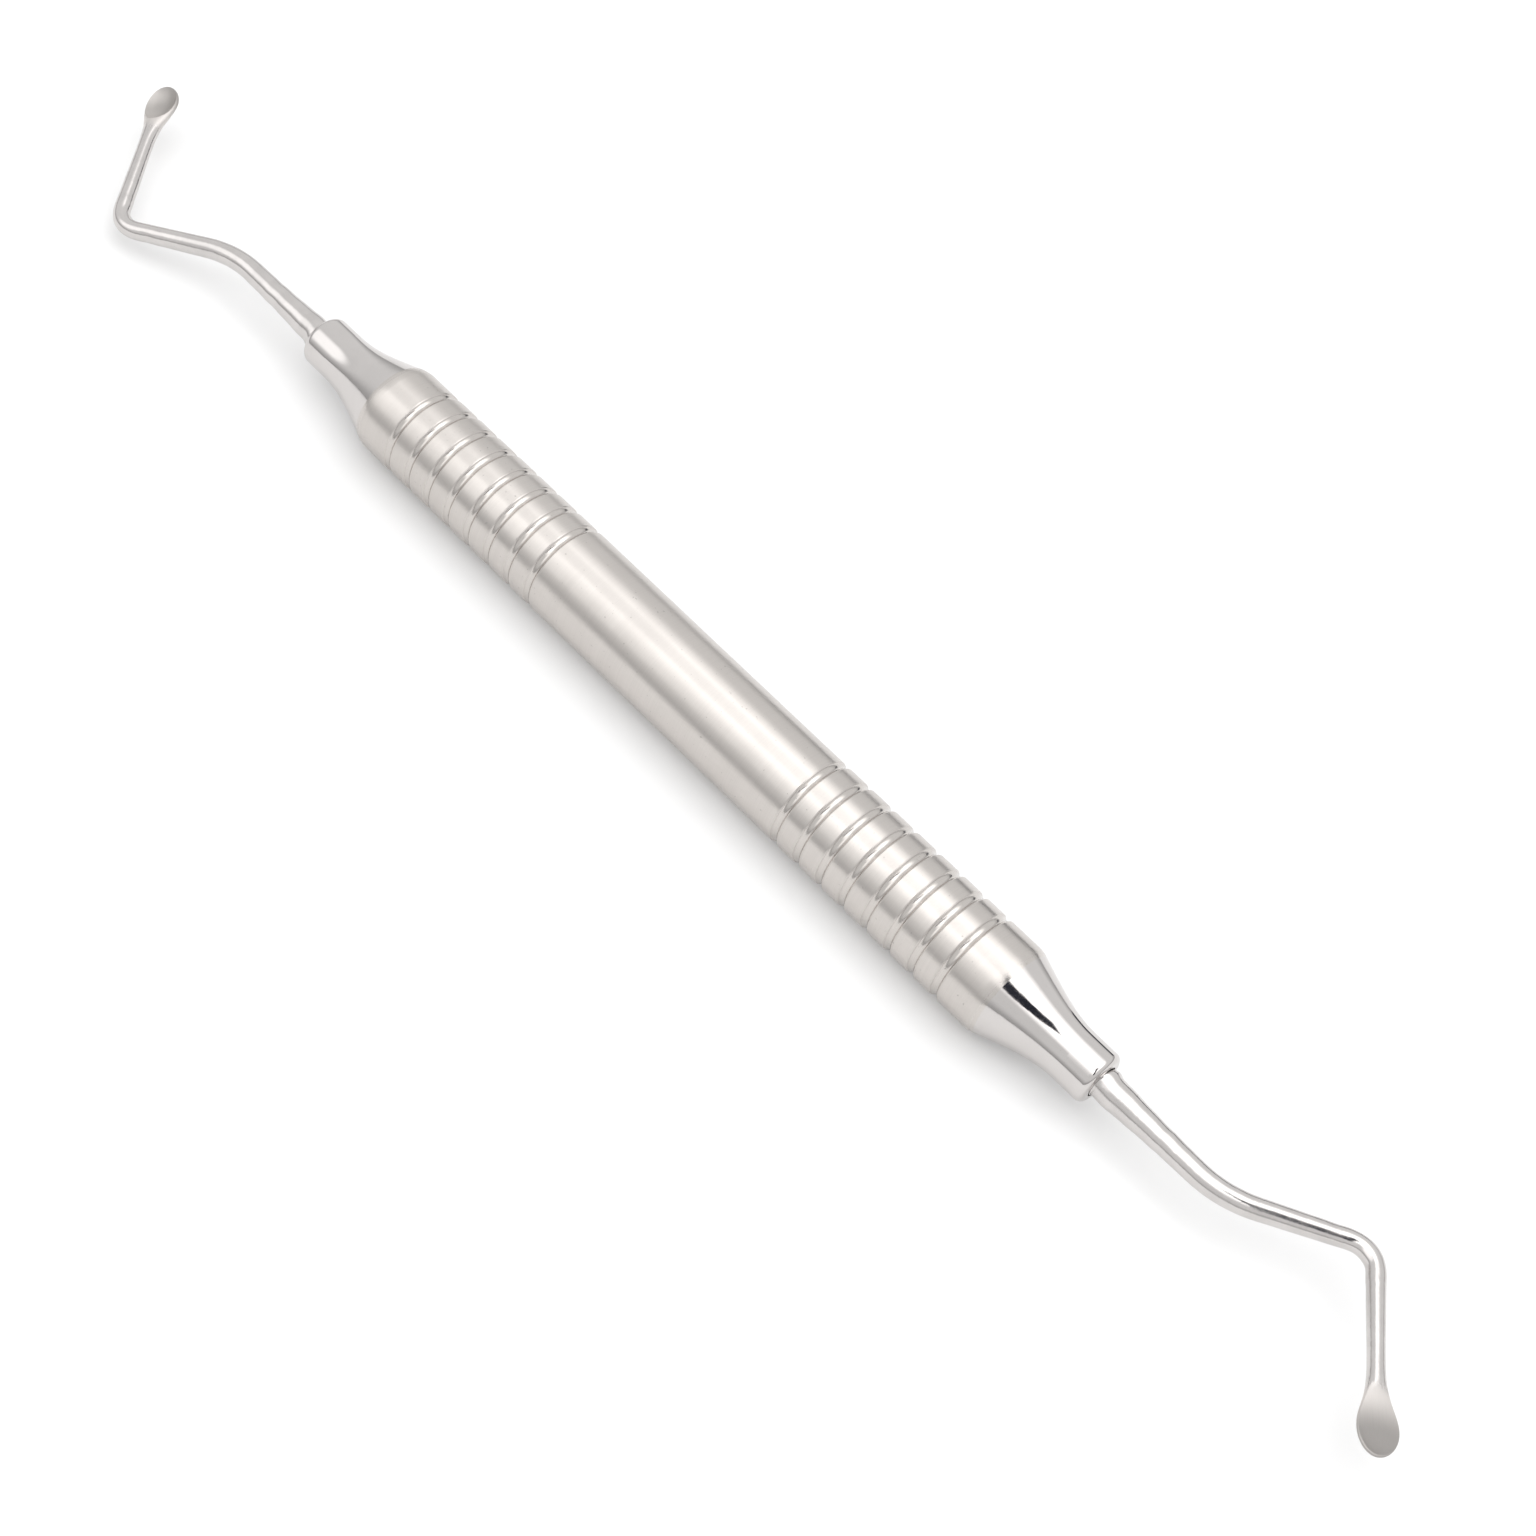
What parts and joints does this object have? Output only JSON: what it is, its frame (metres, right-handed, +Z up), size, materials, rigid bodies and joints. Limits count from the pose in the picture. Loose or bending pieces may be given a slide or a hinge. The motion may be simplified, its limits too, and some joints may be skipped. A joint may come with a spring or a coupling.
{
  "type": "bone curette",
  "caption": "Double-ended bone curette with a grooved hollow barrel, polished sockets and doubly bent shanks that end in small hollow spoons.",
  "frame": {"origin": "middle of the barrel's length, on the line where the barrel rests on the table", "axes": "+X along the barrel toward the front working end, +Z up from the table, +Y completes a right-handed frame"},
  "size_m": [0.1813, 0.0183, 0.0095],
  "materials": {
    "satin_steel": "satin, turned round the barrel",
    "polished_steel": "mirror polish on the shanks and sockets, satin on the spoons"
  },
  "bodies": {
    "root": {"handle_barrel": "satin_steel", "neck_front": "polished_steel", "neck_rear": "polished_steel", "working_end_front": "polished_steel", "working_end_rear": "polished_steel"}
  },
  "joints": []
}
